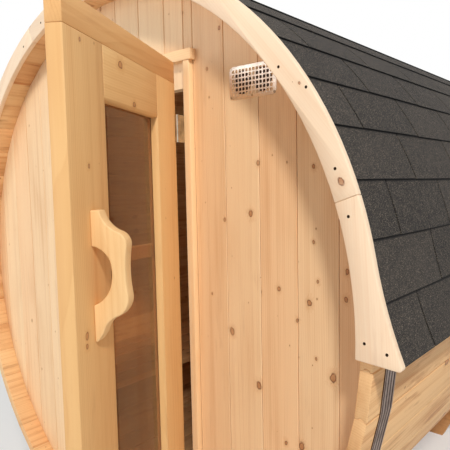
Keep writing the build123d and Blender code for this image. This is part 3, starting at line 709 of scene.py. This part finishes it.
def makeTabs():
    bm = bmesh.new()
    bm.verts.layers.float.new("course")
    courses = int((roofLength - roof["capWide"] / 2) / roof["exposure"])
    for side in (-1, 1):
        for course in range(courses):
            butt = course * roof["exposure"]
            head = min(butt + roof["exposure"] + roof["headLap"], roofLength - roof["belowRidge"])
            start = roof["joints"][course] + (0 if side > 0 else roof["stagger"])
            while start > barrelFront:
                start -= roof["tab"]
            while start < barrelBack:
                wander = random.uniform(-roof["wander"], roof["wander"])
                left = max(start + roof["slot"] / 2, barrelFront)
                right = min(start + roof["tab"] - roof["slot"] / 2, barrelBack)
                if right - left > roof["least"]:
                    lift = wander + roof["wander"] if course else 0  # the lowest course lies straight
                    addTab(bm, left, right, butt + lift, head, side)
                start += roof["tab"]
    bmesh.ops.recalc_face_normals(bm, faces=bm.faces)
    butts = [edge for edge in bm.edges if edge.calc_face_angle(0) > roof["edgeFrom"]]
    bevelEdges(bm, butts, roof["edge"], 1)
    finishPiece(bm, "shingle_tabs", shingle, "cabin", ["roof_shingles"], "shingle", "barrel",
                roof["smooth"])


def makeCaps():  # they lie over the ridge, each over the next towards the back
    bm = bmesh.new()
    course = bm.verts.layers.float.new("course")
    count = round(barrelLength / roof["capStep"])
    step = barrelLength / count
    for number in range(count):
        start = barrelFront + number * step
        length = min(start + step + roof["capLap"], barrelBack) - start
        upper, lower = addSheet(bm, roof["capParts"])
        for vert in upper + lower:
            share = vert.co.x + 0.5
            layer = share + (1 if vert in lower else 0)
            radius = roofOuter - roof["skin"] - roof["capThick"] * layer
            angle = vert.co.y * roof["capWide"] / roofOuter
            vert[course] = share * length
            vert.co = Vector((radius * sin(angle), start + share * length, axisZ + radius * cos(angle)))
    bmesh.ops.recalc_face_normals(bm, faces=bm.faces)
    finishPiece(bm, "ridge_caps", shingle, "cabin", [], "shingle", "barrel", roof["smooth"])


def makeUnderlay():
    bm = bmesh.new()
    foot = roof["bedInset"]
    for side in (-1, 1):
        upper, lower = addSheet(bm, roof["bedParts"])
        for vert in upper + lower:
            vert.co.z = -roof["bedFoot"] if vert in lower else -roof["bedTop"]
            vert.co.x = barrelFront + (vert.co.x + 0.5) * barrelLength
            vert.co.y = foot + (vert.co.y + 0.5) * (roofLength - foot)
        bendOntoRoof(upper + lower, side)
    bmesh.ops.remove_doubles(bm, verts=bm.verts, dist=roof["bedMerge"])  # the halves meet at the ridge
    inner = [face for face in bm.faces if all(abs(vert.co.x) < 1e-5 for vert in face.verts)]
    bmesh.ops.delete(bm, geom=inner, context="FACES")
    bmesh.ops.recalc_face_normals(bm, faces=bm.faces)
    finishPiece(bm, "roof_underlay", underlay, "cabin", [], "shingle", "barrel", roof["smooth"])


makeTabs()
makeCaps()
makeUnderlay()
print("Shingles laid")


# Vent: a punched plate over two dark discs, painted shade that stands for the openings of two round ducts
vent = {
    "columns": 12, "rows": 6, "pitch": 0.0118, "web": 0.005, "holeCorner": 0.17,
    "plate": 0.0018, "slope": 0.0012, "border": 0.002, "corner": 0.012, "screwInset": 0.0065,
    "duct": 0.031, "ductTaper": 0.001, "ductSide": 0.034, "ductRim": 0.002, "ductParts": 32,
    "mouthProud": 0.0004, "mouthThick": 0.0006, "mouthDeep": 0.0005,
}
ventLow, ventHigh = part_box("vent_grille")
ventMiddle = (ventLow + ventHigh) / 2
ventHalfWide, ventHalfTall = (ventHigh.x - ventLow.x) / 2, (ventHigh.z - ventLow.z) / 2
facingFront = Matrix.Rotation(pi / 2, 4, "X")


def punchedSheet(bm, wide, tall):
    bmesh.ops.create_grid(bm, x_segments=vent["columns"], y_segments=vent["rows"], size=0.5)
    bmesh.ops.scale(bm, verts=bm.verts, vec=(wide, tall, 1))
    cells = bm.faces[:]
    bmesh.ops.inset_individual(bm, faces=cells, thickness=vent["web"] / 2)
    corners = list({vert for face in cells for vert in face.verts})
    bmesh.ops.delete(bm, geom=cells, context="FACES_ONLY")
    bmesh.ops.bevel(bm, geom=corners, offset=vent["pitch"] * vent["holeCorner"], offset_type="OFFSET",
                    segments=2, profile=0.5, affect="VERTICES", material=-1)


def roundCorner(vert):  # pull a point of the plate's corner in to a round
    middle = Vector((ventHalfWide - vent["corner"], ventHalfTall - vent["corner"]))
    past = Vector((abs(vert.co.x), abs(vert.co.y))) - middle
    if past.x > 0 and past.y > 0 and past.length > vent["corner"]:
        spot = middle + past.normalized() * vent["corner"]
        vert.co.x = spot.x if vert.co.x > 0 else -spot.x
        vert.co.y = spot.y if vert.co.y > 0 else -spot.y


def makeVentPlate():
    wide, tall = vent["columns"] * vent["pitch"], vent["rows"] * vent["pitch"]

    def past(vert, play):  # beyond the punched field
        return abs(vert.co.x) > wide / 2 + play or abs(vert.co.y) > tall / 2 + play

    bm = bmesh.new()
    punchedSheet(bm, wide, tall)
    rim = [edge for edge in bm.edges if edge.is_boundary and all(past(vert, -1e-5) for vert in edge.verts)]
    spread = bmesh.ops.extrude_edge_only(bm, edges=rim)
    border = [item for item in spread["geom"] if isinstance(item, bmesh.types.BMVert)]
    bmesh.ops.scale(bm, verts=border, vec=(ventHalfWide * 2 / wide, ventHalfTall * 2 / tall, 1))
    for vert in border:
        roundCorner(vert)
    front = extruded(bm, bm.faces[:])
    bmesh.ops.translate(bm, verts=front, vec=(0, 0, vent["plate"]))
    for vert in front:  # the border slopes back to the wall
        if past(vert, vent["border"]):
            vert.co.z -= vent["slope"]
    place = Matrix.Translation((ventMiddle.x, ventLow.y + vent["plate"], ventMiddle.z))
    bmesh.ops.transform(bm, verts=bm.verts, matrix=place @ facingFront)
    bmesh.ops.recalc_face_normals(bm, faces=bm.faces)
    finishPiece(bm, "vent_plate", metals["grilleSteel"], "cabin", ["vent_grille"], "grille_steel")


def makeDuctMouths():  # dark discs seen through the holes of the plate, painted shade for the insides of the ducts
    bm = bmesh.new()
    for side in (-1, 1):
        across = ventMiddle.x + side * vent["ductSide"]
        place = Matrix.Translation((across, wallFront - vent["mouthProud"], ventMiddle.z))
        before = set(bm.faces)
        bmesh.ops.create_cone(bm, cap_ends=True, segments=vent["ductParts"], radius1=vent["duct"],
                              radius2=vent["duct"] - vent["ductTaper"], depth=vent["mouthThick"],
                              matrix=place @ facingFront)
        fresh = [face for face in bm.faces if face not in before]
        mouth = min(fresh, key=lambda face: face.calc_center_median().y)
        bmesh.ops.inset_region(bm, faces=[mouth], thickness=vent["ductRim"])
        bmesh.ops.translate(bm, verts=mouth.verts, vec=(0, vent["mouthDeep"], 0))
    finishPiece(bm, "vent_ducts", ductShadePaint, "cabin", [], "grille_steel")


makeVentPlate()
makeDuctMouths()
print("Vent punched")


# Screws: low heads with a recess
screws = {
    "arch": [(0.9636, 89.4), (1.0152, 90.2), (0.9655, 73.3), (0.9692, 67.0), (0.9906, 55.7), (0.9625, 50.5),
             (0.9655, 27.4), (0.9677, 18.7)],  # distance from the barrel's axis, and degrees from the top
    "archRadius": 0.0042, "ventRadius": 0.0036, "proud": 0.0003, "flush": 0.00001, "ventSunk": 0.0002,
    "sides": 14, "taper": 0.82, "length": 0.0016, "recess": 0.38, "recessDeep": 0.7,
}


def addScrew(bm, centre, direction, radius, rise):
    before = set(bm.verts)
    bmesh.ops.create_cone(bm, cap_ends=True, segments=screws["sides"], radius1=radius,
                          radius2=radius * screws["taper"], depth=screws["length"])
    faces = {face for vert in bm.verts if vert not in before for face in vert.link_faces}
    top = max(faces, key=lambda face: face.calc_center_median().z)
    bmesh.ops.inset_region(bm, faces=[top], thickness=radius * screws["recess"])
    bmesh.ops.translate(bm, verts=extruded(bm, [top]), vec=(0, 0, -rise * screws["recessDeep"]))
    bmesh.ops.delete(bm, geom=[top], context="FACES_ONLY")
    place = Matrix.Translation(centre + direction * (rise - screws["length"] / 2))
    turn = direction.to_track_quat("Z", "Y").to_matrix().to_4x4()
    verts = [vert for vert in bm.verts if vert not in before]
    bmesh.ops.transform(bm, verts=verts, matrix=place @ turn)


def clockPoint(radius, degreesFromTop, y):
    angle = radians(degreesFromTop)
    return Vector((radius * sin(angle), y, axisZ + radius * cos(angle)))


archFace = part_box("front_arch")[0].y
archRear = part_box("back_arch")[1].y
forward = Vector((0, -1, 0))


def makeScrews():
    bm = bmesh.new()
    for radius, angle in screws["arch"]:
        for side in (-1, 1):
            frontSpot = clockPoint(radius, side * angle, archFace)
            rearSpot = clockPoint(radius, side * angle, archRear)
            addScrew(bm, frontSpot, forward, screws["archRadius"], screws["proud"])
            addScrew(bm, rearSpot, -forward, screws["archRadius"], screws["flush"])
    bmesh.ops.recalc_face_normals(bm, faces=bm.faces)
    finishPiece(bm, "arch_screws", metals["screwSteel"], "cabin", [], "hinge_steel")

    bm = bmesh.new()
    reach = Vector((ventHalfWide - vent["screwInset"], 0, ventHalfTall - vent["screwInset"]))
    for column in (-1, 0, 1):
        for row in (-1, 1):
            spot = Vector((ventMiddle.x + column * reach.x, ventLow.y + screws["ventSunk"],
                           ventMiddle.z + row * reach.z))
            addScrew(bm, spot, forward, screws["ventRadius"], screws["proud"])
    bmesh.ops.recalc_face_normals(bm, faces=bm.faces)
    finishPiece(bm, "vent_screws", metals["hingeSteel"], "cabin", [], "hinge_steel")


makeScrews()
print("Screws driven")


# Steel bands, rolled with three ridges and drawn over the flats of the staves
band = {
    "flats": 52, "width": 0.058, "base": 0.0008, "full": 0.0028,
    "lip": 0.003, "lipFoot": 0.0042, "lipDown": 0.0002,
    "ridges": 3, "ridgeWide": 0.0125, "ridgeParts": 6, "ridgeShape": 0.8,
}


def bandProfile():  # back over the band, and out from its inner face
    width, base, full = band["width"], band["base"], band["full"]
    edge = full - band["lipDown"]
    points = [(0.0, edge), (band["lip"], edge), (band["lipFoot"], base)]
    for ridge in range(band["ridges"]):
        middle = width * (ridge + 1) / (band["ridges"] + 1)
        for part in range(band["ridgeParts"] + 1):
            share = part / band["ridgeParts"]
            rise = (full - base) * sin(pi * share) ** band["ridgeShape"] if 0 < share < 1 else 0
            points.append((middle + (share - 0.5) * band["ridgeWide"], base + rise))
    points += [(width - back, out) for back, out in points[2::-1]]
    return points + [(width, 0.0), (0.0, 0.0)]


def makeBands():  # the profile stands at a corner of the flats and is spun round the barrel
    low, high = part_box("steel_bands")
    inner = high.z - axisZ - band["full"]
    lean = tan(pi / band["flats"])
    bm = bmesh.new()
    rise = bm.verts.layers.float.new("rise")
    for start in (low.y, high.y - band["width"]):
        outline = []
        for back, out in bandProfile():
            height = inner + out
            vert = bm.verts.new((lean * height, start + back, axisZ + height))
            vert[rise] = (out - band["base"]) / (band["full"] - band["base"])
            outline.append(vert)
        edges = [bm.edges.new(ends) for ends in zip(outline, outline[1:] + outline[:1])]
        bmesh.ops.spin(bm, geom=outline + edges, cent=(0, 0, axisZ), axis=(0, 1, 0), angle=2 * pi,
                       steps=band["flats"], use_merge=True)
    bmesh.ops.recalc_face_normals(bm, faces=bm.faces)
    finishPiece(bm, "ridged_bands", metals["bandSteel"], "cabin", ["steel_bands"], "band_steel")


makeBands()
print("Bands rolled")


# CAD nodes that keep their own mesh
keptMeshes = {"hinge_frame_leaves": metals["hingeSteel"], "hinge_door_leaves": metals["hingeSteel"],
              "door_glass": glass}
for node, material in keptMeshes.items():
    mesh = frame["nodes"][node].data
    mesh.materials.clear()
    mesh.materials.append(material)


# Floor, lamps and camera
stageLook = {
    "floor": linear(238, 236, 232), "floorSize": 30.0, "roughness": 0.9,
    "near": 0.35, "fadeFrom": 1.8, "fadeTo": 5.0,  # share of white close by, and where it turns all white
    "air": (0.86, 0.93, 1.0, 1), "airLight": 0.36, "white": (1, 1, 1, 1),
}


def seenRays(shade):  # 1 for what the camera sees, also in or through glass
    rays = shade.add("LightPath").outputs
    byGlass = shade.calc("MAXIMUM", rays["Is Glossy Ray"], rays["Is Transmission Ray"])
    return shade.calc("MAXIMUM", rays["Is Camera Ray"], byGlass)


def makeStage():
    material, shade = newMaterial("stageFloor")
    away = shade.vector("LENGTH", shade.add("TexCoord").outputs["Object"])
    fade = shade.ramp(away, stageLook["fadeFrom"], stageLook["fadeTo"])
    fade = shade.calc("ADD", stageLook["near"], shade.calc("MULTIPLY", fade, 1 - stageLook["near"]))
    paint = {"Base Color": stageLook["floor"], "Roughness": stageLook["roughness"]}
    floorFace = shade.add("BsdfPrincipled", paint)
    white = shade.add("Emission", {"Color": stageLook["white"], "Strength": 1.0})
    share = shade.calc("MULTIPLY", fade, seenRays(shade))
    mix = shade.add("MixShader", {0: share, 1: floorFace.outputs[0], 2: white.outputs[0]})
    shade.add("OutputMaterial", {0: mix.outputs[0]})

    bm = bmesh.new()
    bmesh.ops.create_grid(bm, x_segments=1, y_segments=1, size=stageLook["floorSize"])
    mesh = bpy.data.meshes.new("stage_floor")
    bm.to_mesh(mesh)
    bm.free()
    mesh.materials.append(material)
    floor = bpy.data.objects.new("stage_floor", mesh)
    bpy.context.scene.collection.objects.link(floor)


def makeWorld():
    world = bpy.data.worlds.new("stageWorld")
    bpy.context.scene.world = world
    world.use_nodes = True
    shade = Shader(world.node_tree)
    soft = shade.add("Background", {"Color": stageLook["air"], "Strength": stageLook["airLight"]})
    plain = shade.add("Background", {"Color": stageLook["white"], "Strength": 1.0})
    mix = shade.add("MixShader", {0: seenRays(shade), 1: soft.outputs[0], 2: plain.outputs[0]})
    shade.add("OutputWorld", {0: mix.outputs[0]})


lamps = {
    "key": {"place": (4.6, -3.6, 6.2), "target": (0.2, -0.2, 1.1), "power": 400.0, "size": 0.9,
            "colour": (1, 0.95, 0.88)},
    "fill": {"place": (-3.5, -6.0, 2.5), "target": (0, -0.3, 1.2), "power": 130.0, "size": 4.0,
             "colour": (1, 1, 1)},
}


def makeLamps():
    for name, lamp in lamps.items():
        light = bpy.data.lights.new(name, "AREA")
        light.energy = lamp["power"]
        light.size = lamp["size"]
        light.color = lamp["colour"]
        holder = bpy.data.objects.new(name, light)
        holder.location = lamp["place"]
        aim = Vector(lamp["target"]) - Vector(lamp["place"])
        holder.rotation_euler = aim.to_track_quat("-Z", "Y").to_euler()
        bpy.context.scene.collection.objects.link(holder)


view = {"place": (1.4645, -1.3034, 1.4311), "yaw": 0.6771, "pitch": -0.0883, "roll": -0.0122,
        "lens": 40.61, "sensor": 36.0, "shift": -0.1, "nearest": 0.02}


def makeCamera():
    yaw, pitch, roll = view["yaw"], view["pitch"], view["roll"]
    ahead = Vector((-sin(yaw) * cos(pitch), cos(yaw) * cos(pitch), sin(pitch)))
    right = Vector((cos(yaw), sin(yaw), 0))
    upward = right.cross(ahead)
    rightward = right * cos(roll) + upward * sin(roll)
    upward = upward * cos(roll) - right * sin(roll)
    camera = bpy.data.cameras.new("camera")
    camera.lens = view["lens"]
    camera.sensor_width = view["sensor"]
    camera.shift_x = view["shift"]
    camera.clip_start = view["nearest"]
    holder = bpy.data.objects.new("camera", camera)
    turn = Matrix((rightward, upward, -ahead)).transposed()
    holder.matrix_world = Matrix.Translation(view["place"]) @ turn.to_4x4()
    bpy.context.scene.collection.objects.link(holder)
    bpy.context.scene.camera = holder


makeStage()
makeWorld()
makeLamps()
makeCamera()
bpy.context.scene.view_settings.view_transform = "Standard"
print("Stage set")
